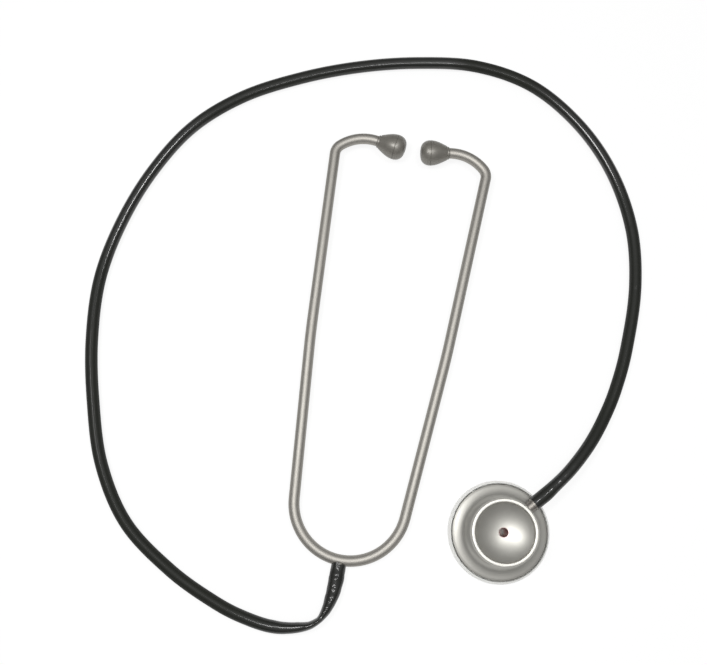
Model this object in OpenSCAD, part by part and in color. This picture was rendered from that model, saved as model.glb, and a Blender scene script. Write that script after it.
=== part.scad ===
// Toy stethoscope, lying on a table with its bell up.
// The origin is the middle of the diaphragm's face, +Y is the headset's own
// middle line from the hose to the ear tips, and +Z is up.

/* [Headset frame] */
// Outside diameter of the frame tube
frame_d = 4.8; // [4:0.1:7]
// Wall of the frame tube
frame_wall = 0.9; // [0.5:0.1:1]
// Radius of the U bend, to the middle of the tube
bow_r = 24.4; // [18:0.2:32]
// Degrees that the legs lean out where the U bend ends
lean_low = 5; // [4:0.25:8]
// Degrees that the ear tubes lean out below their shoulders
lean_high = 3; // [1:0.25:3.5]
// Length of each leg of the bow above the U bend
leg_len = 32; // [20:1:45]
// Length of the lower straight of an ear tube, above the bow
arm_low_len = 34; // [20:1:60]
// Radius of the gentle bend between the straights of an ear tube
arm_bend_r = 400; // [200:10:500]
// Length of the upper straight of an ear tube, below its shoulder
arm_high_len = 77.5; // [50:0.5:100]
// Radius of the tight shoulder bend
shoulder_r = 5.5; // [4:0.25:8]
// Degrees turned at the shoulder
shoulder_turn = 50; // [35:1:60]
// Degrees that each ear tip points down towards the bow
tip_dip = 9; // [0:1:20]

/* [Ear tips] */
// Gap between the two ear tips
tip_gap = 7.1; // [4:0.1:20]
// Widest diameter of an ear tip
tip_d = 11.5; // [9.5:0.5:14]
// Diameter of an ear tip at its neck
tip_neck_d = 5.4; // [5.2:0.1:7.5]
// Length of an ear tip
tip_len = 13.6; // [12:0.1:16]
// Distance from the neck to the widest place
tip_waist = 9; // [7:0.25:10]
// Diameter of the sound hole through the dome
tip_hole_d = 2.4; // [1.5:0.1:3]
// Length of the tube end that an ear tip is pushed on
tip_grip = 6; // [4:0.25:7]
// Outside diameter of the tube end inside an ear tip
tip_spigot_d = 3.6; // [3:0.1:3.8]
// Diameter of the sound channel in that end
tip_spigot_bore = 2; // [1:0.1:2.2]

/* [Hose] */
// Outside diameter of the hose
hose_d = 5.5; // [5:0.1:6.5]
// Bore of the hose
hose_bore = 3.5; // [3:0.1:4]

/* [Hose nipple] */
// Distance from the middle of the frame tube to the end of the hose
nipple_reach = 2.8; // [2.7:0.1:5]
// Length of the spigot inside the hose
nipple_grip = 10; // [6:0.5:12]
// Diameter of the plug in the wall of the frame tube
nipple_plug_d = 2.4; // [1.8:0.1:2.6]

/* [Spigots] */
// Diameter of a hose spigot between its barbs
spigot_d = 3.3; // [2.6:0.1:3.6]
// How far a barb stands out from its spigot
barb_rise = 0.35; // [0.1:0.05:0.5]
// Sound channel in a spigot
spigot_bore = 1.6; // [1:0.1:1.8]
// Barbs on a spigot
barb_count = 3; // [2:1:4]

/* [Chest piece] */
// Outside diameter of the retaining ring
head_d = 44; // [41:0.5:50]
// Height of the retaining ring
ring_h = 3.6; // [3.2:0.1:4]
// Wall of the retaining ring
ring_wall = 1.8; // [1.4:0.1:2.2]
// Thickness of the ring's lip under the diaphragm
lip_t = 0.5; // [0.4:0.05:0.7]
// How far the ring's lip reaches in from its outside
lip_reach = 3.4; // [3:0.1:4]
// Thickness of the diaphragm
diaphragm_t = 0.4; // [0.3:0.05:0.6]
// Height of the housing's sloping shoulder where it meets the flare
drum_h = 4.7; // [4.4:0.1:5.2]
// Diameter where the shoulder steps up into the flare
step_d = 32.4; // [30:0.2:35]
// Diameter of the neck between the drum and the bell
neck_d = 21.5; // [19:0.25:23]
// Height of the middle of the stem above the table
stem_z = 9; // [8.6:0.1:10]
// Diameter of the bell's rim
bell_d = 28.5; // [26:0.5:34]
// Height of the bell's rim above the middle of the stem
bell_rise = 11.8; // [11:0.1:15]
// Width of the bell's rolled rim
rim_w = 2.1; // [1.5:0.1:2.6]
// Height of the bottom of the bell's bowl above the middle of the stem
bowl_floor = 6.6; // [5.5:0.1:8]
// Diameter of the sound hole in the bowl
sound_hole_d = 3.8; // [3:0.1:4.4]
// Diameter of the pegs that join the bell to the housing
peg_d = 2.2; // [1.6:0.1:2.6]
// Length of those pegs
peg_len = 2.8; // [2:0.1:3]

/* [Stem] */
// Direction of the stem seen from above, in degrees from +X
stem_angle = 50; // [45:1:55]
// Diameter of the stem
stem_d = 4.8; // [4.2:0.1:5]
// Diameter of the flange that the neck traps
flange_d = 6.4; // [6:0.1:6.8]
// Thickness of that flange
flange_t = 1.5; // [1:0.1:1.8]
// Distance from the middle of the chest piece to the end of the hose
stem_reach = 18.6; // [17.5:0.1:21]
// Length of the spigot inside the hose
stem_grip = 9; // [6:0.5:10]

/* [Hidden] */

// Clearance of pieces that are fixed to each other
seat_gap = 0.05;
// Radial clearance of the stem in the neck
stem_gap = 0.08;
// How far a cut runs past the solid that it cuts
overrun = 1;
// The band over a seam: its length, and how far it stands out of the tube
seam_len = 0.4;
seam_rise = 0.02;
// Facets of round sections, of round pieces and of a full turn of a wide bend
section_facets = 48;
round_facets = 96;
wide_facets = 720;
// Steps in a curved stretch of an outline
arc_steps = 12;

// Where the hose ends at the headset, on the headset's own middle line
headset_x = -65.2;
headset_y = -26.4;

// The route of the hose between its two ends, on the table from the headset
// round to the chest piece and up to the stem
hose_route = [
    [-65.2, -33, 2.75], [-66.5, -40, 2.75], [-71, -48, 2.75], [-78, -53, 2.75],
    [-87.5, -55.5, 2.75], [-99.6, -54.3, 2.75], [-114.1, -50.3, 2.75], [-136, -40.5, 2.75],
    [-159, -24.5, 2.75], [-175, -1.8, 2.75], [-184.8, 24.5, 2.75], [-191.6, 51.5, 2.75],
    [-194.3, 79.5, 2.75], [-190.5, 107, 2.75], [-181.7, 133.8, 2.75], [-168, 158, 2.75],
    [-148, 176.8, 2.75], [-123.3, 190.7, 2.75], [-97.5, 201, 2.75], [-70.5, 208, 2.75],
    [-42.5, 211.2, 2.75], [-15.3, 206, 2.75], [8.5, 191, 2.75], [26.8, 170.4, 2.75],
    [39.2, 145, 2.75], [44.3, 117.5, 2.75], [43.9, 89.5, 2.8], [41.5, 71, 2.95],
    [38, 57.3, 3.5], [32.9, 44.3, 5.5], [26, 32, 7.8], [19, 22.5, 8.9]
];
// Sides of the hose, and its rings from one point of the route to the next
hose_sides = 12;
hose_steps = 2;

frame_r = frame_d / 2;
frame_bore_r = frame_r - frame_wall;
hose_r = hose_d / 2;
tip_r = tip_d / 2;
spigot_r = spigot_d / 2;
stem_r = stem_d / 2;

// Places along the left half of the frame, in its own plane, with the middle
// of the U bend at zero. A heading is in degrees from +Y towards +X.
function aside(h) = [cos(h), -sin(h)];
function ahead(h) = [sin(h), cos(h)];
function past(p, h, r, turn) = p + r * (aside(h) - aside(h + turn));

arm_turn = lean_low - lean_high;
tip_root = frame_wall / 2;
tip_heading = 90 + tip_dip;
crown_heading = shoulder_turn - lean_high;
crown_turn = tip_heading - crown_heading;

leg_start = past([0, 0], -90, bow_r, 90 - lean_low);
arm_start = leg_start + leg_len * ahead(-lean_low);
arm_bend_start = arm_start + arm_low_len * ahead(-lean_low);
arm_bend_end = past(arm_bend_start, -lean_low, arm_bend_r, arm_turn);
shoulder_start = arm_bend_end + arm_high_len * ahead(-lean_high);
crown_start = past(shoulder_start, -lean_high, shoulder_r, shoulder_turn);

// The wide bend over the crown has the radius that leaves the ear tips their gap
crown_reach = -crown_start[0] - tip_len * ahead(tip_heading)[0] - tip_gap / 2;
crown_r = crown_reach / (aside(crown_heading)[0] - aside(tip_heading)[0]);
tip_start = past(crown_start, crown_heading, crown_r, crown_turn);
tip_middle = tip_start + tip_waist * ahead(tip_heading);

// The headset rests on its hose end and on its ear tips
headset_tilt = asin((tip_r - hose_r) / (tip_middle[1] + nipple_reach));

module in_headset() {
    translate([headset_x, headset_y, hose_r])
        rotate([headset_tilt, 0, 0])
            translate([0, nipple_reach, 0])
                children();
}

// Cross-section of a tube, or of a rod where there is no bore
module section(outer_r, bore_r) {
    difference() {
        circle(outer_r, $fn = section_facets);
        if (bore_r > 0)
            circle(bore_r, $fn = section_facets);
    }
}

// A tube that starts at p with heading h: bent to the right, or straight
module bend(p, h, r, turn, outer_r, bore_r = 0, facets = round_facets) {
    middle = p + r * aside(h);
    translate([middle[0], middle[1], 0])
        rotate([0, 0, 180 - h - turn])
            rotate_extrude(angle = turn, $fn = facets)
                translate([r, 0])
                    section(outer_r, bore_r);
}

module bar(p, h, len, outer_r, bore_r = 0) {
    translate([p[0], p[1], 0])
        rotate([0, 0, -h])
            rotate([-90, 0, 0])
                linear_extrude(len)
                    section(outer_r, bore_r);
}

// The U bend at the bottom of the frame, from one leg round to the other
module u_bend(outer_r, bore_r = 0) {
    bend([-leg_start[0], leg_start[1]], 180 + lean_low, bow_r, 180 - 2 * lean_low, outer_r, bore_r);
}

// A band a hair thicker than the tube's wall, which makes two stretches that
// meet at p into one piece
module seam(p, h) {
    bar(p - seam_len / 2 * ahead(h), h, seam_len, frame_r + seam_rise, frame_bore_r - seam_rise);
}

// The straight run of the bow above the left end of the U bend
module leg() {
    bar(leg_start, -lean_low, leg_len - seat_gap, frame_r, frame_bore_r);
    seam(leg_start, -lean_low);
}

// The U-shaped spring part of the frame, with the hole for the hose nipple
module spring_bow() {
    color("darkgray")
        in_headset() {
            difference() {
                u_bend(frame_r, frame_bore_r);
                bar([0, 0], 180, frame_d, nipple_plug_d / 2 + seat_gap);
            }
            leg();
            mirror([1, 0, 0]) leg();
        }
}

// A barbed hose spigot that stands on zero and points up +Z
module spigot(len) {
    barb_pitch = len / (barb_count + 1);
    cylinder(h = len - barb_rise, r = spigot_r, $fn = section_facets);
    translate([0, 0, len - barb_rise])
        cylinder(h = barb_rise, r1 = spigot_r, r2 = spigot_r - barb_rise, $fn = section_facets);
    for (i = [1 : barb_count])
        translate([0, 0, i * barb_pitch])
            cylinder(h = barb_pitch / 2, r1 = spigot_r + barb_rise, r2 = spigot_r,
                     $fn = section_facets);
}

// The short nipple on the outside of the U bend that carries the hose
module hose_nipple() {
    collar_start = frame_r / 2;
    color("silver")
        in_headset()
            difference() {
                union() {
                    difference() {
                        bar([0, -collar_start], 180, nipple_reach - collar_start, hose_r);
                        u_bend(frame_r + seat_gap);
                    }
                    bar([0, -frame_bore_r], 180, nipple_reach - frame_bore_r, nipple_plug_d / 2);
                    translate([0, -nipple_reach, 0])
                        rotate([90, 0, 0])
                            spigot(nipple_grip);
                }
                bar([0, 0], 180, nipple_reach + nipple_grip + overrun, spigot_bore / 2);
            }
}

// An ear tube: the rigid run of the frame above the bow, over the shoulder and
// the crown, and the narrower end that the ear tip is pushed on
module ear_tube() {
    color("darkgray") {
        bar(arm_start, -lean_low, arm_low_len, frame_r, frame_bore_r);
        bend(arm_bend_start, -lean_low, arm_bend_r, arm_turn, frame_r, frame_bore_r, wide_facets);
        bar(arm_bend_end, -lean_high, arm_high_len, frame_r, frame_bore_r);
        bend(shoulder_start, -lean_high, shoulder_r, shoulder_turn, frame_r, frame_bore_r);
        bend(crown_start, crown_heading, crown_r, crown_turn, frame_r, frame_bore_r);
        bar(tip_start - tip_root * ahead(tip_heading), tip_heading, tip_root + tip_grip,
            tip_spigot_d / 2, tip_spigot_bore / 2);
        seam(arm_bend_start, -lean_low);
        seam(arm_bend_end, -lean_high);
        seam(shoulder_start, -lean_high);
        seam(crown_start, crown_heading);
    }
}

module left_ear_tube() {
    in_headset() ear_tube();
}

module right_ear_tube() {
    in_headset() mirror([1, 0, 0]) ear_tube();
}

// The lips round an ear tip's neck, as shares of the neck's diameter and of the
// waist's height, and the powers that bow its flank and make its dome blunt
tip_lip_shares = [[0.52, 0.06], [0.5, 0.06], [0.54, 0.12], [0.51, 0.12]];
flank_power = 1.2;
dome_power = 0.65;
dome_depth = tip_len - tip_waist;

// Half outline of an ear tip, from its neck at zero to its dome
function tip_outline() = concat(
    [[0, 0], [tip_neck_d / 2, 0]],
    [for (share = tip_lip_shares) [share[0] * tip_neck_d, share[1] * tip_waist]],
    [for (i = [3 : arc_steps - 1])
        let (t = i / arc_steps)
        [tip_neck_d / 2 + (tip_r - tip_neck_d / 2) * pow(sin(90 * t), flank_power),
         t * tip_waist]],
    [for (i = [0 : arc_steps])
        let (a = 90 * i / arc_steps)
        [tip_r * pow(cos(a), dome_power), tip_waist + dome_depth * sin(a)]]
);

module ear_tip() {
    color("dimgray")
        translate([tip_start[0], tip_start[1], 0])
            rotate([0, 0, -tip_heading])
                rotate([-90, 0, 0])
                    difference() {
                        rotate_extrude($fn = section_facets)
                            polygon(tip_outline());
                        translate([0, 0, -overrun])
                            cylinder(h = tip_grip + seat_gap + overrun, r = tip_spigot_d / 2 + seat_gap,
                                     $fn = section_facets);
                        cylinder(h = tip_len + overrun, r = tip_hole_d / 2, $fn = section_facets);
                    }
}

module left_ear_tip() {
    in_headset() ear_tip();
}

module right_ear_tip() {
    in_headset() mirror([1, 0, 0]) ear_tip();
}

// The hose, swept along a smooth curve through its route
stem_way = [cos(stem_angle), sin(stem_angle), 0];
hose_points = concat([[headset_x, headset_y, hose_r]], hose_route,
                     [stem_reach * stem_way + [0, 0, stem_z]]);
hose_last = len(hose_points) - 1;
function hose_point(i) =
    i < 0 ? 2 * hose_points[0] - hose_points[1]
    : i > hose_last ? 2 * hose_points[hose_last] - hose_points[hose_last - 1]
    : hose_points[i];
function between(a, b, c, d, t) =
    (2 * b + (c - a) * t + (2 * a - 5 * b + 4 * c - d) * t * t
     + (3 * b - a - 3 * c + d) * t * t * t) / 2;
hose_line = [
    for (i = [0 : hose_last - 1], k = [0 : hose_steps - 1])
        between(hose_point(i - 1), hose_point(i), hose_point(i + 1), hose_point(i + 2),
                k / hose_steps),
    hose_points[hose_last]
];

function unit(v) = v / norm(v);
function hose_way(i, last) =
    i == 0 ? [0, -1, 0]
    : i == last ? -stem_way
    : unit(hose_line[i + 1] - hose_line[i - 1]);
function hose_ring(i, last, r) =
    let (way = hose_way(i, last), side = unit(cross(way, [0, 0, 1])), up = cross(side, way))
    [for (k = [0 : hose_sides - 1])
        let (a = 360 * k / hose_sides)
        hose_line[i] + r * (cos(a) * side + sin(a) * up)];

module hose() {
    last = len(hose_line) - 1;
    n = hose_sides;
    inner = (last + 1) * n;
    points = concat(
        [for (i = [0 : last]) each hose_ring(i, last, hose_r)],
        [for (i = [0 : last]) each hose_ring(i, last, hose_bore / 2)]
    );
    function corner(i, k, start) = start + i * n + k % n;
    walls = [for (i = [0 : last - 1], k = [0 : n - 1]) each [
        [corner(i, k, 0), corner(i, k + 1, 0), corner(i + 1, k + 1, 0)],
        [corner(i, k, 0), corner(i + 1, k + 1, 0), corner(i + 1, k, 0)],
        [corner(i, k, inner), corner(i + 1, k + 1, inner), corner(i, k + 1, inner)],
        [corner(i, k, inner), corner(i + 1, k, inner), corner(i + 1, k + 1, inner)]
    ]];
    ends = [for (k = [0 : n - 1]) each [
        [corner(0, k, 0), corner(0, k, inner), corner(0, k + 1, inner)],
        [corner(0, k, 0), corner(0, k + 1, inner), corner(0, k + 1, 0)],
        [corner(last, k, 0), corner(last, k + 1, inner), corner(last, k, inner)],
        [corner(last, k, 0), corner(last, k + 1, 0), corner(last, k + 1, inner)]
    ]];
    color([0.08, 0.08, 0.07])
        polyhedron(points, concat(walls, ends));
}

// Places along the stem, measured out from the middle of the chest piece
flange_start = sound_hole_d / 2 + seat_gap + stem_gap;
collar_t = frame_wall;

module along_stem() {
    translate([0, 0, stem_z])
        rotate([0, 0, stem_angle])
            rotate([0, 90, 0])
                children();
}

// The stem that the chest piece turns on, with its flange, collar and spigot
module stem() {
    color("silver")
        along_stem()
            difference() {
                union() {
                    translate([0, 0, flange_start])
                        cylinder(h = flange_t, d = flange_d, $fn = section_facets);
                    translate([0, 0, flange_start])
                        cylinder(h = stem_reach - flange_start, r = stem_r, $fn = section_facets);
                    translate([0, 0, stem_reach - collar_t])
                        cylinder(h = collar_t, r = hose_r, $fn = section_facets);
                    translate([0, 0, stem_reach])
                        spigot(stem_grip);
                }
                translate([0, 0, flange_start - overrun])
                    cylinder(h = stem_reach + stem_grip - flange_start + 2 * overrun,
                             d = spigot_bore, $fn = section_facets);
            }
}

// Room for the stem in the neck: its bearing, the groove for its flange and
// the sound channel that leads to it from the middle
module stem_room() {
    along_stem() {
        cylinder(h = flange_start, r = spigot_bore, $fn = section_facets);
        translate([0, 0, flange_start - stem_gap])
            cylinder(h = flange_t + 2 * stem_gap, r = flange_d / 2 + stem_gap, $fn = section_facets);
        translate([0, 0, flange_start])
            cylinder(h = stem_reach - flange_start, r = stem_r + stem_gap, $fn = section_facets);
    }
}

head_r = head_d / 2;
neck_r = neck_d / 2;
rim_r = head_r - ring_wall - seat_gap;
land_z = lip_t + diaphragm_t + seat_gap;
// The bead that holds the ring on, as shares of the ring's height and wall
snap_height_share = 0.7;
snap_rise_share = 0.17;
snap_z = ring_h * snap_height_share;
snap_rise = ring_wall * snap_rise_share;

// Half outline of the housing's drum and flare up to the joint at the stem. The
// flare's foot and end follow the lip, and it sags by a share of its height.
flare_start_r = step_d / 2 - lip_t;
flare_start_z = drum_h + lip_t;
flare_end_z = stem_z - lip_t;
flare_sag_share = 0.1;
function housing_outline() = concat(
    [[0, drum_h / 2], [head_r - 2 * lip_reach, land_z + lip_t], [head_r - lip_reach, land_z],
     [rim_r, land_z], [rim_r, snap_z - 2 * snap_rise], [rim_r - snap_rise, snap_z - snap_rise],
     [rim_r - snap_rise, snap_z + snap_rise], [rim_r, snap_z + 2 * snap_rise],
     [rim_r, ring_h], [rim_r - snap_rise, ring_h + snap_rise], [step_d / 2, drum_h]],
    [for (i = [0 : arc_steps])
        let (t = i / arc_steps, rise = t - flare_sag_share * sin(180 * t))
        [flare_start_r + (neck_r - flare_start_r) * t,
         flare_start_z + (flare_end_z - flare_start_z) * rise]],
    [[neck_r, stem_z], [0, stem_z]]
);

// The pegs stand in the middle of the neck's wall, on the three sides away from
// the stem
peg_ring_r = (sound_hole_d / 2 + neck_r) / 2;
module at_pegs() {
    for (a = [-110, 180, 110])
        rotate([0, 0, stem_angle + a])
            translate([peg_ring_r, 0, 0])
                children();
}

module diaphragm_housing() {
    color("lightgray")
        difference() {
            rotate_extrude($fn = round_facets)
                polygon(housing_outline());
            cylinder(h = stem_z + overrun, d = sound_hole_d, $fn = section_facets);
            stem_room();
            at_pegs()
                translate([0, 0, stem_z - peg_len - seat_gap])
                    cylinder(h = peg_len + seat_gap + overrun, r = peg_d / 2 + seat_gap,
                             $fn = section_facets);
        }
}

// Half outline of the bell: neck, horn, rolled rim and bowl
bell_r = bell_d / 2;
bell_h = stem_z + bell_rise;
horn_start_share = 0.8;
horn_start_z = stem_z + horn_start_share * stem_r;
horn_h = bell_h - horn_start_z - 1.5 * rim_w;
bowl_r = bell_r - rim_w;
bowl_top_z = bell_h - rim_w / 2;
bowl_bottom_z = stem_z + bowl_floor;
bowl_rise = bowl_top_z - bowl_bottom_z;
bowl_curve_r = (bowl_r * bowl_r + bowl_rise * bowl_rise) / (2 * bowl_rise);
bowl_half_angle = asin(bowl_r / bowl_curve_r);
function bell_outline() = concat(
    [[0, stem_z], [neck_r, stem_z]],
    [for (i = [0 : arc_steps])
        let (a = 90 * i / arc_steps)
        [neck_r + (bell_r - neck_r) * (1 - cos(a)), horn_start_z + horn_h * sin(a)]],
    [for (i = [0 : arc_steps])
        let (a = 180 * i / arc_steps)
        [bell_r - rim_w / 2 + rim_w / 2 * cos(a), bell_h - rim_w / 2 + rim_w / 2 * sin(a)]],
    [for (i = [1 : arc_steps])
        let (a = bowl_half_angle * (1 - i / arc_steps))
        [bowl_curve_r * sin(a), bowl_bottom_z + bowl_curve_r * (1 - cos(a))]]
);

module bell() {
    color("silver")
        difference() {
            union() {
                rotate_extrude($fn = round_facets)
                    polygon(bell_outline());
                at_pegs()
                    translate([0, 0, stem_z - peg_len])
                        cylinder(h = peg_len + overrun, d = peg_d, $fn = section_facets);
            }
            translate([0, 0, stem_z - overrun])
                cylinder(h = bell_h, d = sound_hole_d, $fn = section_facets);
            stem_room();
        }
}

// The stepped disc that rests on the table, held at its edge by the ring
module diaphragm() {
    color("whitesmoke") {
        cylinder(h = lip_t + diaphragm_t, r = head_r - lip_reach - seat_gap, $fn = round_facets);
        translate([0, 0, lip_t])
            cylinder(h = diaphragm_t, r = head_r - ring_wall - 3 * seat_gap, $fn = round_facets);
    }
}

// The ring that snaps over the housing and holds the diaphragm. Above its foot
// its outside leans in, up to a rounded edge.
ring_foot_share = 0.25;
ring_lean_share = 0.55;
ring_edge_share = 0.25;
ring_lean = ring_lean_share * ring_wall;
ring_edge = ring_edge_share * ring_wall;
module retaining_ring() {
    color("gainsboro")
        rotate_extrude($fn = round_facets)
            polygon(concat(
                [[head_r - lip_reach, 0], [head_r - snap_rise, 0], [head_r, snap_rise],
                 [head_r, ring_foot_share * ring_h]],
                [for (i = [0 : arc_steps])
                    let (a = 90 * i / arc_steps)
                    [head_r - ring_lean - ring_edge * (1 - cos(a)),
                     ring_h - ring_edge * (1 - sin(a))]],
                [[head_r - ring_wall, ring_h], [head_r - ring_wall, snap_z + 2 * snap_rise],
                 [head_r - ring_wall - snap_rise / 2, snap_z + snap_rise / 2],
                 [head_r - ring_wall - snap_rise / 2, snap_z - snap_rise / 2],
                 [head_r - ring_wall, snap_z - 2 * snap_rise], [head_r - ring_wall, lip_t],
                 [head_r - lip_reach, lip_t]]
            ));
}

spring_bow();
hose_nipple();
left_ear_tube();
right_ear_tube();
left_ear_tip();
right_ear_tip();
hose();
stem();
diaphragm_housing();
bell();
diaphragm();
retaining_ring();
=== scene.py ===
import math
import bpy
import bmesh
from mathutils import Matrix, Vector, noise


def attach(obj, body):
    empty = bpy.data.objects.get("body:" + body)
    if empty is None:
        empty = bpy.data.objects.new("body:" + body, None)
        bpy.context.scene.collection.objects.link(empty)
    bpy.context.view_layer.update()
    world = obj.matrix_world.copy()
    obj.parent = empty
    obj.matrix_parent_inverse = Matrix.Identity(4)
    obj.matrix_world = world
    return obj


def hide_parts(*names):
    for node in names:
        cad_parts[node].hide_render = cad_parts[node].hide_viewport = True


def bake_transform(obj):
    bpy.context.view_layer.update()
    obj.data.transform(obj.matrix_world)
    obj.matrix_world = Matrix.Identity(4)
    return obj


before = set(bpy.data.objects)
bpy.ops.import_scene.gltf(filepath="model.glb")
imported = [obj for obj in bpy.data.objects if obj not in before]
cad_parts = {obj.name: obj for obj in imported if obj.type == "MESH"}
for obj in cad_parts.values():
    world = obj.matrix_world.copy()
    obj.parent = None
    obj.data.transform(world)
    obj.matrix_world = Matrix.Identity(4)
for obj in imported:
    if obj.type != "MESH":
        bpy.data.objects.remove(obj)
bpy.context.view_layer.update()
mm = 0.001                       # lengths below are in mm, Blender works in metres
scene = bpy.context.scene


class Wire:                      # a socket that can be used in a sum
    def __init__(self, tree, socket):
        self.tree = tree
        self.socket = socket

    def maths(self, operation, first, second):
        return self.tree.node("ShaderNodeMath", {"operation": operation}, {0: first, 1: second})

    def __add__(self, other):
        return self.maths("ADD", self, other)

    def __radd__(self, other):
        return self.maths("ADD", other, self)

    def __sub__(self, other):
        return self.maths("SUBTRACT", self, other)

    def __rsub__(self, other):
        return self.maths("SUBTRACT", other, self)

    def __mul__(self, other):
        return self.maths("MULTIPLY", self, other)

    def __rmul__(self, other):
        return self.maths("MULTIPLY", other, self)


class Tree:                      # adds nodes to a material, a world or a geometry tree
    def __init__(self, nodeTree):
        self.nodeTree = nodeTree
        nodeTree.nodes.clear()

    def node(self, kind, settings=None, sockets=None, output=0):
        made = self.nodeTree.nodes.new(kind)
        for name, value in (settings or {}).items():
            if name == "stops":
                ramp = made.color_ramp.elements
                while len(ramp) < len(value):
                    ramp.new(0.5)
                for stop, (place, grey) in zip(ramp, value):
                    stop.position = place
                    stop.color = (grey, grey, grey, 1.0)
            else:
                setattr(made, name, value)
        for name, value in (sockets or {}).items():
            if isinstance(value, Wire):
                self.nodeTree.links.new(value.socket, made.inputs[name])
            else:
                made.inputs[name].default_value = value
        return Wire(self, made.outputs[output]) if made.outputs else made

    def place(self):             # where a point is on its piece, in metres
        return self.node("ShaderNodeTexCoord", None, None, "Object")

    def sweep(self):             # cosine and sine round a tube, and metres along it
        return self.node("ShaderNodeAttribute", {"attribute_name": "sweep"}, None, "Vector")

    def noise(self, vector, scale, detail, roughness, stretch=None):
        if stretch:
            vector = self.node("ShaderNodeMapping", None, {"Vector": vector, "Scale": stretch})
        return self.node("ShaderNodeTexNoise", None, {"Vector": vector, "Scale": scale,
                                                      "Detail": detail, "Roughness": roughness})

    def between(self, value, low, high):     # 0 at low, 1 at high, smooth in between
        return self.node("ShaderNodeMapRange", {"interpolation_type": "SMOOTHSTEP"},
                         {"Value": value, "From Min": low, "From Max": high})

    def length(self, vector):
        return self.node("ShaderNodeVectorMath", {"operation": "LENGTH"}, {0: vector}, "Value")

    def colourMix(self, amount, low, high):
        return self.node("ShaderNodeMix", {"data_type": "RGBA"},
                         {"Factor": amount, "A": low, "B": high}, "Result")

    def bump(self, height, strength, depth=0.1):
        return self.node("ShaderNodeBump", None,
                         {"Strength": strength, "Distance": depth * mm, "Height": height})


def colour(red, green, blue):    # a photo's 0-255 colour as Blender's linear one
    return tuple(((c / 255 + 0.055) / 1.055) ** 2.4 for c in (red, green, blue)) + (1.0,)


def varied(middle, *ranges):     # a value that noises move round its middle: (noise, range)
    low = middle - sum(span for field, span in ranges) / 2
    return sum((field * span for field, span in ranges), low)


photoView = {"place": (-62.4, -7.2, 432.9), "lookAt": (-77.25, 75.6, 0.0), "lens": 49.9}


def makeCamera():
    data = bpy.data.cameras.new("photoCamera")
    data.lens = photoView["lens"]
    camera = bpy.data.objects.new("photoCamera", data)
    scene.collection.objects.link(camera)
    place = Vector(photoView["place"]) * mm
    aim = Vector(photoView["lookAt"]) * mm - place
    camera.location = place
    camera.rotation_euler = aim.to_track_quat("-Z", "Y").to_euler()
    scene.camera = camera


makeCamera()
print("camera ready")


def newMaterial(name):
    material = bpy.data.materials.new(name)
    material.use_nodes = True
    return material, Tree(material.node_tree)


def finishMaterial(tree, base, roughness, bump, others=None):
    shader = tree.node("ShaderNodeBsdfPrincipled", None,
                       {"Base Color": base, "Roughness": roughness, "Normal": bump,
                        **(others or {})})
    tree.node("ShaderNodeOutputMaterial", None, {"Surface": shader})


# In the materials a noise is its scale, detail and roughness, and a stretch where it has one.
# A share is how much of the colour's change is the first noise's, the rest is the second's.
# A range is how far a noise moves the roughness.
tubeMetal = {
    "light": colour(172, 169, 163), "dull": colour(156, 153, 147), "roughness": 0.55,
    "streaks": (1.4, 4.0, 0.6, (5.0, 5.0, 12.0)), "streakShare": 0.5, "streakRange": 0.08,
    "smudges": (60.0, 3.0, 0.5), "smudgeRange": 0.10, "bump": 0.05,
}


def makeTubeMetal():             # drawn aluminium tube with long faint lines and smudges
    look = tubeMetal
    material, tree = newMaterial("tubeMetal")
    streaks = tree.noise(tree.sweep(), *look["streaks"])
    smudges = tree.noise(tree.place(), *look["smudges"])
    change = streaks * look["streakShare"] + smudges * (1 - look["streakShare"])
    roughness = varied(look["roughness"], (streaks, look["streakRange"]),
                       (smudges, look["smudgeRange"]))
    finishMaterial(tree, tree.colourMix(change, look["dull"], look["light"]), roughness,
                   tree.bump(streaks, look["bump"]), {"Metallic": 1.0})
    return material


hoseRubber = {
    "dark": colour(20, 21, 18), "light": colour(34, 36, 30), "polished": colour(11, 12, 9),
    "roughness": 0.55, "shine": 0.2, "coatRoughness": 0.16, "polishShare": 0.9,
    "flow": (1.5, 4.0, 0.55, (1.6, 1.6, 22.0)), "flowShare": 0.6, "flowRange": 0.16,
    "scuffs": (210.0, 3.0, 0.5), "scuffRange": 0.16,
    "wrinkles": (1.0, 1.0, 0.5, (0.9, 0.9, 330.0)),
    "bump": 0.5, "bumpDepth": 0.3, "flowHeight": 0.12, "wrinkleHeight": 0.4,
    "length": 0.709,             # in metres
    # where the wrinkles near each end start to fade and where they are gone, in mm from it
    "headsetFade": (10.8, 36), "chestFade": (12, 60), "chestWrinkles": 0.15,
    # how polished the hose is: (distance from the headset in mm, polish)
    "polish": [(0, 0.7), (40, 0.8), (50, 0.4), (64, 0.05), (130, 0.05), (160, 0.08), (236, 0.18),
               (256, 0.9), (316, 0.9), (330, 0.3), (372, 0.4), (400, 0.6), (444, 0.9),
               (454, 0.05), (484, 0.1), (508, 0.9), (540, 1.0), (556, 0.3), (600, 0.15),
               (660, 0.05), (684, 0.5), (696, 0.9), (702, 0.25), (709, 0.8)],
}


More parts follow.
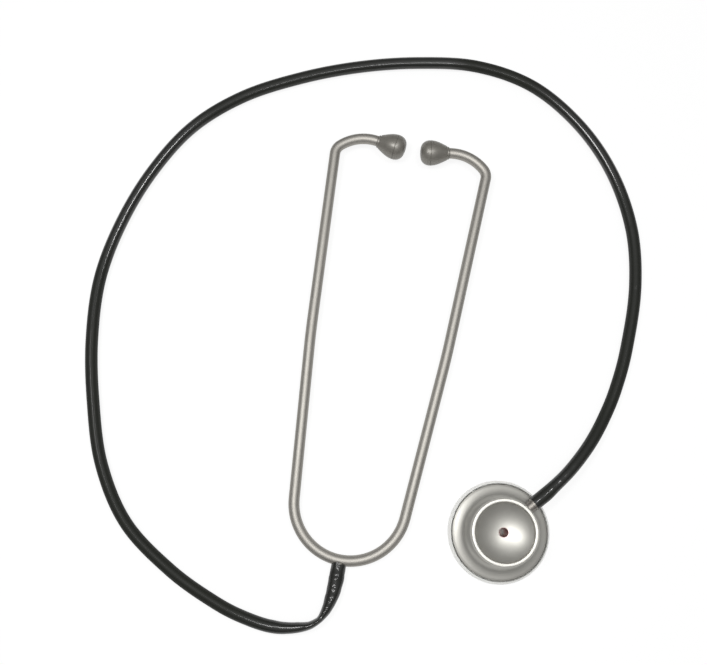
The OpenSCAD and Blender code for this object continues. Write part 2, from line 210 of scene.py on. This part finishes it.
def makeHoseRubber():            # glossy soft hose, wrinkled where it is stretched over its ends
    look = hoseRubber
    material, tree = newMaterial("hoseRubber")
    flow = tree.noise(tree.sweep(), *look["flow"])
    scuffs = tree.noise(tree.place(), *look["scuffs"])
    wrinkles = tree.noise(tree.sweep(), *look["wrinkles"])
    along = tree.node("ShaderNodeSeparateXYZ", None, {"Vector": tree.sweep()}, "Z")
    start, gone = look["headsetFade"]
    nearHeadset = 1 - tree.between(along, start * mm, gone * mm)
    start, gone = look["chestFade"]
    nearChest = tree.between(along, look["length"] - gone * mm, look["length"] - start * mm)
    folded = nearHeadset + nearChest * look["chestWrinkles"]
    stops = [(place * mm / look["length"], amount) for place, amount in look["polish"]]
    polish = tree.node("ShaderNodeValToRGB", {"stops": stops},
                       {"Fac": along * (1 / look["length"])})
    change = flow * look["flowShare"] + scuffs * (1 - look["flowShare"])
    base = tree.colourMix(polish * look["polishShare"],
                          tree.colourMix(change, look["dark"], look["light"]), look["polished"])
    roughness = varied(look["roughness"], (flow, look["flowRange"]), (scuffs, look["scuffRange"]))
    height = flow * look["flowHeight"] + wrinkles * folded * look["wrinkleHeight"]
    finishMaterial(tree, base, roughness, tree.bump(height, look["bump"], look["bumpDepth"]),
                   {"Specular IOR Level": look["shine"], "Coat Weight": polish,
                    "Coat Roughness": look["coatRoughness"]})
    return material


tipPlastic = {
    "dark": colour(106, 103, 97), "light": colour(126, 123, 116), "roughness": 0.39,
    "cloud": (260.0, 4.0, 0.5), "cloudRange": 0.10, "grain": (4200.0, 2.0, 0.5),
    "grainRange": 0.08, "bump": 0.03, "shine": 0.9, "lacquer": 0.35,
}


def makeTipPlastic():            # silver-grey moulded tip, satin, with a fine grain
    look = tipPlastic
    material, tree = newMaterial("tipPlastic")
    cloud = tree.noise(tree.place(), *look["cloud"])
    grain = tree.noise(tree.place(), *look["grain"])
    roughness = varied(look["roughness"], (cloud, look["cloudRange"]),
                       (grain, look["grainRange"]))
    finishMaterial(tree, tree.colourMix(cloud, look["dark"], look["light"]), roughness,
                   tree.bump(grain, look["bump"]),
                   {"Specular IOR Level": look["shine"], "Metallic": look["lacquer"]})
    return material


silver = {"cloud": (85.0, 4.0, 0.5), "marks": (900.0, 2.0, 0.7), "cloudShare": 0.7,
          "range": 0.08, "bump": 0.03}
chestMetal = {
    "light": colour(197, 196, 190), "dull": colour(183, 181, 175), "roughness": 0.47,
    "metal": 1.0,
    # painted light: inside the sound hole the silver is painted lighter and warmer than the metal,
    # so the deep hole reads less dark
    "hole": colour(228, 200, 197), "holeEdge": (2.0, 2.2),   # warmer inside this radius
}
# painted highlight: the ring gets a paler, less metallic copy of the head's silver, so its band
# reads as bright as a lit rim
ringMetal = {"light": colour(240, 240, 237), "dull": colour(226, 226, 222), "roughness": 0.42,
             "metal": 0.35}
fittingMetal = {"light": colour(156, 152, 146), "dull": colour(130, 126, 120), "roughness": 0.46,
                "metal": 1.0}


def makeSilver(name, look):      # silver finish with faint cloudiness and handling marks
    material, tree = newMaterial(name)
    cloud = tree.noise(tree.place(), *silver["cloud"])
    marks = tree.noise(tree.place(), *silver["marks"])
    change = cloud * silver["cloudShare"] + marks * (1 - silver["cloudShare"])
    base = tree.colourMix(change, look["dull"], look["light"])
    # painted light: where a look has a hole, the sound hole's wall is painted lighter and warmer
    # than the rest of the silver
    if "hole" in look:
        flat = tree.node("ShaderNodeVectorMath", {"operation": "MULTIPLY"},
                         {0: tree.place(), 1: (1.0, 1.0, 0.0)})
        inside, outside = look["holeEdge"]
        base = tree.colourMix(tree.between(tree.length(flat), inside * mm, outside * mm),
                              look["hole"], base)
    roughness = varied(look["roughness"], (cloud, silver["range"]), (marks, silver["range"]))
    finishMaterial(tree, base, roughness, tree.bump(marks, silver["bump"]),
                   {"Metallic": look["metal"]})
    return material


discPlastic = {
    "light": colour(228, 228, 222), "dull": colour(214, 214, 208), "roughness": 0.3,
    "cloud": (140.0, 4.0, 0.5), "cloudRange": 0.14,
    "rings": 9000.0, "bump": 0.05,   # the rings are a sine of so many radians a metre
}


def makeDiscPlastic():           # thin pale disc with very faint turned rings
    look = discPlastic
    material, tree = newMaterial("discPlastic")
    cloud = tree.noise(tree.place(), *look["cloud"])
    rings = tree.node("ShaderNodeMath", {"operation": "SINE"},
                      {0: tree.length(tree.place()) * look["rings"]})
    finishMaterial(tree, tree.colourMix(cloud, look["dull"], look["light"]),
                   varied(look["roughness"], (cloud, look["cloudRange"])),
                   tree.bump(rings, look["bump"]))
    return material


materials = {
    "tube": makeTubeMetal(),
    "hose": makeHoseRubber(),
    "tip": makeTipPlastic(),
    "chest": makeSilver("chestMetal", chestMetal),
    "ring": makeSilver("ringMetal", ringMetal),
    "fitting": makeSilver("fittingMetal", fittingMetal),
    "disc": makeDiscPlastic(),
}
print("materials ready:", len(materials))


def captured(tree, geometry, value):     # a value held on a curve before it is swept
    capture = tree.nodeTree.nodes.new("GeometryNodeCaptureAttribute")
    capture.capture_items.new("FLOAT", "kept")
    for wire, socket in zip((geometry, value), capture.inputs):
        tree.nodeTree.links.new(wire.socket, socket)
    return Wire(tree, capture.outputs[0]), Wire(tree, capture.outputs[1])


def makeTubeTree():              # a round tube along a curve, with its place along it kept
    group = bpy.data.node_groups.new("tubeAlongPath", "GeometryNodeTree")
    for name, way, kind in (("Geometry", "INPUT", "Geometry"), ("Sides", "INPUT", "Int"),
                            ("Finish", "INPUT", "Material"), ("Geometry", "OUTPUT", "Geometry")):
        group.interface.new_socket(name, in_out=way, socket_type="NodeSocket" + kind)
    tree = Tree(group)
    path, sides, finish = (tree.node("NodeGroupInput", None, None, name)
                           for name in ("Geometry", "Sides", "Finish"))
    ring = tree.node("GeometryNodeCurvePrimitiveCircle", None,
                     {"Resolution": sides, "Radius": 1.0})
    along = tree.node("GeometryNodeSplineParameter", None, None, "Length")
    around = tree.node("GeometryNodeSplineParameter", None, None, "Factor") * math.tau
    path, along = captured(tree, path, along)
    ring, around = captured(tree, ring, around)
    tube = tree.node("GeometryNodeCurveToMesh", None,
                     {"Curve": path, "Profile Curve": ring,
                      "Scale": tree.node("GeometryNodeInputRadius")})
    sweep = tree.node("ShaderNodeCombineXYZ", None,
                      {"X": tree.node("ShaderNodeMath", {"operation": "COSINE"}, {0: around}),
                       "Y": tree.node("ShaderNodeMath", {"operation": "SINE"}, {0: around}),
                       "Z": along})
    tube = tree.node("GeometryNodeStoreNamedAttribute",
                     {"data_type": "FLOAT_VECTOR", "domain": "POINT"},
                     {"Geometry": tube, "Name": "sweep", "Value": sweep})
    tube = tree.node("GeometryNodeSetShadeSmooth", None, {"Geometry": tube})
    tube = tree.node("GeometryNodeRealizeInstances", None, {"Geometry": tube})
    tube = tree.node("GeometryNodeSetMaterial", None, {"Geometry": tube, "Material": finish})
    tree.node("NodeGroupOutput", None, {"Geometry": tube})
    return group


tubeTree = makeTubeTree()


def setInput(modifier, name, value):
    for item in modifier.node_group.interface.items_tree:
        if item.name == name and item.in_out == "INPUT":
            modifier[item.identifier] = value


def baked(source, name):         # the evaluated shape as a plain mesh object
    depsgraph = bpy.context.evaluated_depsgraph_get()
    mesh = bpy.data.meshes.new_from_object(source.evaluated_get(depsgraph))
    mesh.name = name
    piece = bpy.data.objects.new(name, mesh)
    scene.collection.objects.link(piece)
    bpy.data.objects.remove(source)
    return piece


def rebaked(piece, angle):       # applies its modifiers; edges sharper than the angle stay crisp
    name = piece.name
    piece.name = name + "Before"
    piece = baked(piece, name)
    piece.data.set_sharp_from_angle(angle=math.radians(angle))
    return piece


def tubeAlong(name, points, radii, sides, material):
    data = bpy.data.curves.new(name + "Path", "CURVE")
    data.dimensions = "3D"
    data.twist_mode = "Z_UP"
    spline = data.splines.new("POLY")
    spline.points.add(len(points) - 1)
    for target, point, radius in zip(spline.points, points, radii):
        target.co = (*(Vector(point) * mm), 1.0)
        target.radius = radius * mm
    path = bpy.data.objects.new(name + "Path", data)
    scene.collection.objects.link(path)
    sweep = path.modifiers.new("tube", "NODES")
    sweep.node_group = tubeTree
    setInput(sweep, "Sides", sides)
    setInput(sweep, "Finish", material)
    return baked(path, name)


def hollow(piece, wall, sharp):  # gives an open tube its wall, inwards, and sharp rims
    shell = piece.modifiers.new("wall", "SOLIDIFY")
    shell.thickness = wall * mm
    shell.offset = -1.0
    return rebaked(piece, sharp)


hoseSize = {
    "diameter": 5.5, "wall": 0.9, "sides": 32, "sharp": 60, "stepsPerPoint": 28, "gap": 0.8,
    # distance from that end, width on the table, height, and how far it leans outwards
    "headsetEnd": [(0, 6.3, 5.6, -0.3), (5, 6.6, 5.85, -0.4), (10, 6.2, 6.15, -0.2),
                   (14, 5.6, 6.4, 0.2), (18.2, 4.4, 6.65, 1.1), (23, 2.7, 7.0, 1.95),
                   (27, 3.3, 6.8, 1.8), (31.5, 4.4, 6.2, 0.95),
                   (36.5, 4.9, 5.8, 0.35), (42, 5.5, 5.5, 0.0)],
    "chestEnd": [(0, 6.1, 6.1, 0.0), (7, 6.1, 6.1, 0.1), (11, 5.7, 5.7, 0.0), (16, 5.5, 5.5, 0.0)],
    # near the ends the hose has lumps and ring-like folds: the strength of each, how far they
    # reach, and how much of them goes sideways
    "headsetFolds": (0.13, 0.07), "chestFolds": (0.03, 0.012), "reach": 32, "fadePower": 0.6,
    "sideways": 0.2, "foldGap": 4.6, "foldWaver": 0.3,
    # layers of lumps: how many a mm across and along, where they start, and their share
    "lumps": [(0.35, 0.55, 0, 1.0), (0.8, 1.3, 7, 0.5)],
    # how far the mouth reaches on to the bow, flat and round, and the length that this bends
    "mouth": 0.4, "seat": 0.17, "mouthLength": 1.0,
    # within this distance of an end, the middle lies at least this share of half the hose's
    # height above the table, and no point lies lower than the clearance
    "lifted": 60, "liftShare": 1.03, "clearance": 0.01,
}

# the hose's middle line, from the bow's nipple round to the stem
hoseRoute = [
    (-65.2, -26.4, 2.75),
    (-65.2, -33, 2.75), (-66.5, -40, 2.75), (-71, -48, 2.75), (-78, -53, 2.75),
    (-87.5, -55.5, 2.75), (-99.6, -54.3, 2.75), (-114.1, -50.3, 2.75), (-136, -40.5, 2.75),
    (-159, -24.5, 2.75), (-175, -1.8, 2.75), (-184.8, 24.5, 2.75), (-191.6, 51.5, 2.75),
    (-194.3, 79.5, 2.75), (-190.5, 107, 2.75), (-181.7, 133.8, 2.75), (-168, 158, 2.75),
    (-148, 176.8, 2.75), (-123.3, 190.7, 2.75), (-97.5, 201, 2.75), (-70.5, 208, 2.75),
    (-42.5, 211.2, 2.75), (-15.3, 206, 2.75), (8.5, 191, 2.75), (26.8, 170.4, 2.75),
    (39.2, 145, 2.75), (44.3, 117.5, 2.75), (43.9, 89.5, 2.8), (41.5, 71, 2.95),
    (38, 57.3, 3.5), (32.9, 44.3, 5.5), (26, 32, 7.8), (19, 22.5, 8.9),
    (11.956, 14.248, 9.0),
]


def smoothRoute(points, steps):  # the same curve through its points as the CAD hose
    points = [Vector(p) for p in points]
    points = [2 * points[0] - points[1]] + points + [2 * points[-1] - points[-2]]
    line = []
    for a, b, c, d in zip(points, points[1:], points[2:], points[3:]):
        for k in range(steps):
            t = k / steps
            line.append((2 * b + (c - a) * t + (2 * a - 5 * b + 4 * c - d) * t * t
                         + (3 * b - a - 3 * c + d) * t ** 3) / 2)
    return line + [points[-2]]


def evenly(line, gap):           # the same line with its points about a gap apart, and its length
    reach = [0.0]
    for a, b in zip(line, line[1:]):
        reach.append(reach[-1] + (b - a).length)
    count = round(reach[-1] / gap)
    even, k = [], 0
    for i in range(count + 1):
        want = reach[-1] * i / count
        while k < len(line) - 2 and reach[k + 1] < want:
            k += 1
        span = reach[k + 1] - reach[k]
        even.append(line[k].lerp(line[k + 1], (want - reach[k]) / span if span else 0.0))
    return even, reach[-1]


def readTable(table, place):     # the values in between the table's rows
    for (a, *low), (b, *high) in zip(table, table[1:]):
        if place <= b:
            t = max(0.0, (place - a) / (b - a))
            return [x + (y - x) * t for x, y in zip(low, high)]
    return list(table[-1][1:])


def hoseSwell(across, rise, along, reach, strengths):    # lumps and folds, fading from an end
    size = hoseSize
    lump = sum(share * noise.noise(Vector((across * fine, rise * fine, along * often + start)))
               for fine, often, start, share in size["lumps"])
    fold = math.sin(math.tau * (reach / size["foldGap"] + size["foldWaver"] * lump))
    fade = max(0.0, 1 - reach / size["reach"]) ** size["fadePower"]
    return fade * (lump * strengths[0] + fold * strengths[1])


def shapeHose(piece, line, length):
    size = hoseSize
    sweep = piece.data.attributes["sweep"].data
    for vertex, place in zip(piece.data.vertices, sweep):
        along = place.vector.z / mm
        here = min(len(line) - 2, int(along / length * (len(line) - 1) + 0.5))
        middle = line[here]
        way = (line[here + 1] - line[max(0, here - 1)]).normalized()
        side = way.cross(Vector((0, 0, 1))).normalized()
        up = side.cross(way)
        end, reach = ("headset", along) if along < length / 2 else ("chest", length - along)
        wide, high, lean = readTable(size[end + "End"], reach)
        offset = vertex.co / mm - middle
        across, rise, onward = offset.dot(side), offset.dot(up), offset.dot(way)
        swell = hoseSwell(across, rise, along, reach, size[end + "Folds"])
        across = across * (1 + size["sideways"] * swell) * wide / size["diameter"] - lean
        rise *= (1 + swell) * high / size["diameter"]
        atMouth = max(0.0, 1 - along / size["mouthLength"])
        onward -= atMouth * (size["mouth"] + size["seat"] * rise * rise)
        if reach < size["lifted"] or middle.z < high / 2:
            middle = middle + Vector((0, 0, max(0.0, high / 2 * size["liftShare"] - middle.z)))
        vertex.co = (middle + across * side + rise * up + onward * way) * mm
        vertex.co.z = max(vertex.co.z, size["clearance"] * mm)
    piece.data.update()


def makeHose():
    size = hoseSize
    line, length = evenly(smoothRoute(hoseRoute, size["stepsPerPoint"]), size["gap"])
    hose = tubeAlong("hoseTube", line, [size["diameter"] / 2] * len(line), size["sides"],
                     materials["hose"])
    shapeHose(hose, line, length)
    hose = hollow(hose, size["wall"], size["sharp"])
    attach(hose, "headset_base")
    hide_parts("hose")
    [tuple(p * mm) for p in line]
    print("hose ready, %.1f mm long" % length)


makeHose()


headset = {
    "place": (-65.2, -26.4, 2.75), "tilt": 0.90447, "nippleReach": 2.8,
    "tube": 4.8, "wall": 0.9, "sides": 48, "sharp": 35, "gap": 1.4, "pointsPerRadius": 8,
    "bow": 24.4, "leanLow": 5.0, "leanHigh": 3.0, "leg": 32.0,
    "lowArm": 34.0, "armBend": 400.0, "highArm": 77.5,
    "shoulder": 5.5, "shoulderTurn": 50.0, "crown": 19.519, "tipDip": 9.0,
    "spigot": 3.6, "spigotLength": 6.0, "spigotStep": 0.02,
    "bend": (24.0, 84.0),        # where the tube springs, up from the U bend
}


def toPart(x, y):                # from the headset's own flat frame to the part's
    turn = math.radians(headset["tilt"])
    y += headset["nippleReach"]
    return Vector(headset["place"]) + Vector((x, y * math.cos(turn), y * math.sin(turn)))


def towards(heading):            # the way of a heading in degrees, 0 up and 90 to the right
    return Vector((math.sin(math.radians(heading)), math.cos(math.radians(heading))))


def tubeWalk():                  # half the frame as straights and bends, as in the CAD
    tube = headset
    crownTurn = 90 + tube["tipDip"] + tube["leanHigh"] - tube["shoulderTurn"]
    line, heading = [Vector((0, 0))], -90
    for kind, size, turn in (("bend", tube["bow"], 90 - tube["leanLow"]),
                             ("straight", tube["leg"] + tube["lowArm"], 0),
                             ("bend", tube["armBend"], tube["leanLow"] - tube["leanHigh"]),
                             ("straight", tube["highArm"], 0),
                             ("bend", tube["shoulder"], tube["shoulderTurn"]),
                             ("bend", tube["crown"], crownTurn)):
        at = line[-1]
        if kind == "straight":
            steps = round(size / tube["gap"])
            line += [at + towards(heading) * size * k / steps for k in range(1, steps + 1)]
        else:
            middle = at + towards(heading + 90) * size
            gap = min(tube["gap"], size / tube["pointsPerRadius"])
            steps = round(math.radians(turn) * size / gap)
            line += [middle - towards(heading + 90 + turn * k / steps) * size
                     for k in range(1, steps + 1)]
            heading += turn
    return line, towards(heading)


def makeFrameHalf(arm, flip):    # flip is -1 for the mirrored half
    size = headset
    line, way = tubeWalk()
    neck = line[-1]
    radii = [size["tube"] / 2] * len(line) + [size["spigot"] / 2] * 2
    line += [neck + way * reach for reach in (size["spigotStep"], size["spigotLength"])]
    points = [toPart(flip * point.x, point.y) for point in line]
    piece = tubeAlong(arm + "Tube", points, radii, size["sides"], materials["tube"])
    piece = hollow(piece, size["wall"], size["sharp"])
    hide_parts("spring_bow", arm + "_ear_tube")
    low, high = size["bend"]
    tuple(toPart(0, low) * mm)
    tuple(toPart(0, high) * mm)
    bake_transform(piece)
    place, beyond = (toPart(flip * point.x, point.y) for point in (neck, neck + way))
    return place, (beyond - place).normalized()


necks = {"left": makeFrameHalf("left", 1), "right": makeFrameHalf("right", -1)}
print("frame tubes ready")


def rounded(corners, steps=6, support=0.12):   # a closed outline of (radius, height, fillet)
    outline = []
    for before, here, after in zip(corners[-1:] + corners, corners, corners[1:] + corners[:1]):
        behind, corner, ahead = (Vector(c[:2]) for c in (before, here, after))
        fillet = here[2]
        if not fillet:
            outline.append(corner)
            continue
        back, onward = (behind - corner).normalized(), (ahead - corner).normalized()
        half = back.angle(onward) / 2
        reach = fillet / math.tan(half)
        centre = corner + (back + onward).normalized() * (fillet / math.sin(half))
        first, last = (corner + way * reach - centre for way in (back, onward))
        if (behind - corner).length > reach + 2 * support:
            outline.append(centre + first + back * support)
        for k in range(steps + 1):
            outline.append(centre + first.slerp(last, k / steps) * fillet)
        if (ahead - corner).length > reach + 2 * support:
            outline.append(centre + last + onward * support)
    return outline


turned = {"sharp": 40}           # edges of the turned pieces sharper than this stay crisp


def spun(name, outline, sides, material, place=(0, 0, 0), axis=(0, 0, 1)):
    tilt = Vector((0, 0, 1)).rotation_difference(Vector(axis))
    made = bmesh.new()
    rings = []
    for k in range(sides):
        angle = math.tau * k / sides
        rings.append([made.verts.new((Vector(place) + tilt @ Vector(
            (out * math.cos(angle), out * math.sin(angle), high))) * mm) for out, high in outline])
    for a, b in zip(rings, rings[1:] + rings[:1]):
        for k in range(len(outline)):
            made.faces.new((a[k - 1], b[k - 1], b[k], a[k]))
    bmesh.ops.recalc_face_normals(made, faces=made.faces)
    mesh = bpy.data.meshes.new(name)
    made.to_mesh(mesh)
    made.free()
    mesh.materials.append(material)
    mesh.polygons.foreach_set("use_smooth", [True] * len(mesh.polygons))
    mesh.set_sharp_from_angle(angle=math.radians(turned["sharp"]))
    piece = bpy.data.objects.new(name, mesh)
    scene.collection.objects.link(piece)
    return piece


earTip = {
    "width": 11.5, "neck": 5.4, "length": 13.6, "waist": 9.0, "hole": 2.4,
    "socket": 3.7, "socketDepth": 6.05, "sides": 96,
    # the collar round the socket: (past the neck's radius, height)
    "collar": [(-0.3, 0.0), (-0.3, 0.35), (0.0, 0.4), (0.2, 0.6), (0.2, 0.95), (0.2, 1.2)],
    "flankSteps": 48, "firstFlankStep": 8, "flankPower": 1.2,
    "crease": 0.16, "creaseHalf": 0.1,       # the mould's line round the widest place
    "domeSteps": 40, "domePower": 0.65, "domeEdge": 0.35,
    # the rounded edge of the sound hole: (past its radius, height from the top)
    "holeEdge": [(0.25, -0.03), (0.08, -0.10), (0.0, -0.3)],
}


def tipOutline():
    size = earTip
    neck, wide, hole, socket = (size[part] / 2 for part in ("neck", "width", "hole", "socket"))
    waist, top = size["waist"], size["length"]
    outline = [(socket, size["socketDepth"]), (socket, 0.0)]
    outline += [(neck + out, high) for out, high in size["collar"]]
    for k in range(size["firstFlankStep"], size["flankSteps"]):    # the flank swells to the crease
        along = k / size["flankSteps"]
        swell = math.sin(math.pi / 2 * along) ** size["flankPower"]
        outline.append((neck + (wide - neck) * swell, along * waist))
    outline += [(wide, waist - size["creaseHalf"]), (wide - size["crease"], waist),
                (wide, waist + size["creaseHalf"])]
    for k in range(1, size["domeSteps"]):       # the dome, up to the edge of the sound hole
        angle = math.pi / 2 * k / size["domeSteps"]
        r = wide * math.cos(angle) ** size["domePower"]
        if r > hole + size["domeEdge"]:
            outline.append((r, waist + (top - waist) * math.sin(angle)))
    return outline + [(hole + out, top + rise) for out, rise in size["holeEdge"]] + [
        (hole, size["socketDepth"])]


for arm, (place, axis) in necks.items():
    tip = spun(arm + "EarTip", tipOutline(), earTip["sides"], materials["tip"], place, axis)
    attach(tip, arm + "_arm")
    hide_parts(arm + "_ear_tip")
print("ear tips ready")


chest = {
    "head": 44.0, "neck": 21.5, "hole": 3.8, "stemHeight": 9.0, "sides": 192,
    # the ring: its wall at the top, the height and lean of its side, the lip under the disc
    "ringHeight": 3.6, "ringWall": 1.45, "ringFoot": 0.9, "ringLean": 1.0,
    "lip": 0.5, "lipReach": 3.4,
    "edgeFillet": 0.3, "footFillet": 0.5, "wallFillet": 0.18, "lipFillet": 0.1,
    # the housing: its rim, inside the ring by the groove, and its underside's height at the hole
    "groove": 0.2, "rimHeight": 3.45, "rimFoot": 0.95, "rimFillet": 0.22, "underside": 2.35,
    # the housing's top from its edge up to the neck, as (radius, height)
    "sweep": [(19.5, 3.80), (18.6, 4.08), (17.7, 4.40), (16.8, 4.80), (16.0, 5.30), (15.3, 5.95),
              (14.3, 7.10), (13.1, 8.08), (12.0, 8.62), (10.8, 8.92)],
    "sweepSteps": 6,
    # the bell: its horn starts above the stem and ends some rim heights below the top
    "bell": 28.5, "bellRise": 11.8, "hornStart": 1.92, "hornEndShare": 1.5, "hornSteps": 24,
    "rim": 2.1, "rimSteps": 24, "rimPower": 0.66, "rimTopPower": 0.8,
    "bowlFloor": 6.6, "bowlSteps": 48, "bowlEdge": 0.3,
    # the edge of the sound hole: (past its radius, height from the bowl's end)
    "holeEdge": [(0.08, -0.06), (0.0, -0.3)],
}


def ringOutline():
    size = chest
    outer, top = size["head"] / 2, size["ringHeight"]
    wall, inner = outer - size["ringWall"], outer - size["lipReach"]
    return rounded([(inner, 0.0, size["lipFillet"]), (outer, 0.0, size["edgeFillet"]),
                    (outer, size["ringFoot"], size["footFillet"]),
                    (outer - size["ringLean"], top, size["edgeFillet"]),
                    (wall, top, size["wallFillet"]), (wall, size["lip"], 0.0),
                    (inner, size["lip"], size["lipFillet"])])


def housingOutline():
    size = chest
    rim = size["head"] / 2 - size["ringWall"] - size["groove"]
    hole, foot = size["hole"] / 2, size["rimFoot"]
    outline = rounded([(hole, size["stemHeight"], 0.0), (hole, size["underside"], 0.0),
                       (rim - size["lip"], foot, 0.0), (rim, foot, 0.0),
                       (rim, size["rimHeight"], size["rimFillet"]), (*size["sweep"][0], 0.0)])
    sweep = smoothRoute(size["sweep"], size["sweepSteps"])
    return outline + sweep[1:] + [(size["neck"] / 2, size["stemHeight"])]


def bellOutline():
    size = chest
    hole, neck, outer, rim = size["hole"] / 2, size["neck"] / 2, size["bell"] / 2, size["rim"]
    base, top = size["stemHeight"], size["stemHeight"] + size["bellRise"]
    start, end = base + size["hornStart"], top - size["hornEndShare"] * rim
    outline = [(hole, base), (neck, base)]
    for k in range(size["hornSteps"] + 1):      # the horn flares from the neck to the rim
        angle = math.pi / 2 * k / size["hornSteps"]
        outline.append((neck + (outer - neck) * (1 - math.cos(angle)),
                        start + (end - start) * math.sin(angle)))
    for k in range(size["rimSteps"] + 1):       # the rolled rim, a little flat on top
        angle = math.pi * k / size["rimSteps"]
        x, y = math.cos(angle), math.sin(angle)
        outline.append((outer - rim / 2 + rim / 2 * math.copysign(abs(x) ** size["rimPower"], x),
                        top - rim / 2 + rim / 2 * y ** size["rimTopPower"]))
    bowl, rise = outer - rim, size["bellRise"] - rim / 2 - size["bowlFloor"]
    curve = (bowl * bowl + rise * rise) / (2 * rise)
    widest, narrowest = math.asin(bowl / curve), math.asin((hole + size["bowlEdge"]) / curve)
    for k in range(1, size["bowlSteps"] + 1):   # the bowl down to the sound hole
        angle = widest + (narrowest - widest) * k / size["bowlSteps"]
        outline.append((curve * math.sin(angle),
                        base + size["bowlFloor"] + curve * (1 - math.cos(angle))))
    low = outline[-1][1]
    return outline + [(hole + out, low + high) for out, high in size["holeEdge"]]


stemSeat = {                     # cut by a drill of this depth, its middle so far out
    "angle": 50.0, "bore": 4.96, "sides": 96, "depth": 60.0, "out": 34.0,
}


def drillForStem(piece):         # the round seat that the stem turns in
    seat = stemSeat
    bpy.ops.mesh.primitive_cylinder_add(vertices=seat["sides"], radius=seat["bore"] / 2 * mm,
                                        depth=seat["depth"] * mm)
    drill = bpy.context.object
    angle = math.radians(seat["angle"])
    drill.rotation_euler = (math.pi / 2, 0, angle + math.pi / 2)
    drill.location = Vector((math.cos(angle) * seat["out"], math.sin(angle) * seat["out"],
                             chest["stemHeight"])) * mm
    cut = piece.modifiers.new("stemSeat", "BOOLEAN")
    cut.operation = "DIFFERENCE"
    cut.object = drill
    piece = rebaked(piece, turned["sharp"])
    bpy.data.objects.remove(drill)
    return piece


def makeChestPiece():
    for name, outline, finish, node in (
            ("snapRing", ringOutline(), "ring", "retaining_ring"),
            ("drumHousing", housingOutline(), "chest", "diaphragm_housing"),
            ("bellCup", bellOutline(), "chest", "bell")):
        piece = spun(name, outline, chest["sides"], materials[finish])
        if finish == "chest":
            piece = drillForStem(piece)
        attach(piece, "chest_head")
        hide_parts(node)


makeChestPiece()
for name, finish in (("hose_nipple", "fitting"), ("stem", "fitting"), ("diaphragm", "disc")):
    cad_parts[name].data.materials.clear()
    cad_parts[name].data.materials.append(materials[finish])
print("chest piece ready")


studio = {
    "white": (1.0, 1.0, 1.0, 1.0), "middle": (-77, 76, 0),
    "floorSize": 4000, "floorPlace": (-75, 80, -0.2), "floorRoughness": 0.9,
    # how much plain white each kind of ray sees; the metal keeps the darker room round it
    "floorGlow": {"Is Camera Ray": 0.85, "Is Glossy Ray": 0.85, "Is Transmission Ray": 0.85},
    "skyGlow": {"Is Camera Ray": 1.0, "Is Glossy Ray": 0.05, "Is Transmission Ray": 1.0},
    # brightness of the sky from the horizon up: (height, brightness)
    "sky": [(0.0, 0.70), (0.05, 0.60), (0.13, 0.14), (0.30, 0.13), (0.46, 0.19), (0.62, 0.32),
            (0.78, 0.48), (0.88, 0.55), (1.0, 0.60)],
    # each lamp's place, width, depth and power
    "lamps": {
        "softbox": ((-300, 75, 700), 140, 160, 1.85),
        "rightLamp": ((95, 165, 700), 80, 70, 0.90),
        "frontLamp": ((-95, -45, 700), 100, 70, 0.85),
        "cornerLamp": ((54, -110, 700), 60, 60, 0.30),
    },
}


def glowing(tree, kind, shader, shares):     # the shader, mixed with white by the kind of ray
    seen = 0.0
    for ray, share in shares.items():
        path = tree.node("ShaderNodeLightPath", None, None, ray)
        seen = tree.node("ShaderNodeMath", {"operation": "MAXIMUM"}, {0: seen, 1: path * share})
    white = tree.node(kind, None, {"Color": studio["white"], "Strength": 1.0})
    return tree.node("ShaderNodeMixShader", None, {"Fac": seen, 1: shader, 2: white})


def makeFloor():
    place = Vector(studio["floorPlace"]) * mm
    bpy.ops.mesh.primitive_plane_add(size=studio["floorSize"] * mm, location=place)
    floor = bpy.context.object
    floor.name = "studioFloor"
    material, tree = newMaterial("floorPaper")
    paper = tree.node("ShaderNodeBsdfPrincipled", None,
                      {"Base Color": studio["white"], "Roughness": studio["floorRoughness"],
                       "Specular IOR Level": 0.0})
    both = glowing(tree, "ShaderNodeEmission", paper, studio["floorGlow"])
    tree.node("ShaderNodeOutputMaterial", None, {"Surface": both})
    floor.data.materials.append(material)


def makeSky():
    world = bpy.data.worlds.new("studioSky")
    scene.world = world
    world.use_nodes = True
    tree = Tree(world.node_tree)
    way = tree.node("ShaderNodeTexCoord", None, None, "Generated")
    height = tree.node("ShaderNodeSeparateXYZ", None, {"Vector": way}, "Z")
    ramp = tree.node("ShaderNodeValToRGB", {"stops": studio["sky"]}, {"Fac": height})
    room = tree.node("ShaderNodeBackground", None, {"Color": ramp, "Strength": 1.0})
    both = glowing(tree, "ShaderNodeBackground", room, studio["skyGlow"])
    tree.node("ShaderNodeOutputWorld", None, {"Surface": both})


def makeLamps():
    middle = Vector(studio["middle"]) * mm
    for name, (place, wide, deep, power) in studio["lamps"].items():
        data = bpy.data.lights.new(name, "AREA")
        data.shape = "RECTANGLE"
        data.size, data.size_y = wide * mm, deep * mm
        data.energy = power
        lamp = bpy.data.objects.new(name, data)
        lamp.location = Vector(place) * mm
        lamp.rotation_euler = (middle - lamp.location).to_track_quat("-Z", "Y").to_euler()
        scene.collection.objects.link(lamp)


makeFloor()
makeSky()
makeLamps()
scene.view_settings.view_transform = "Standard"
print("studio ready")
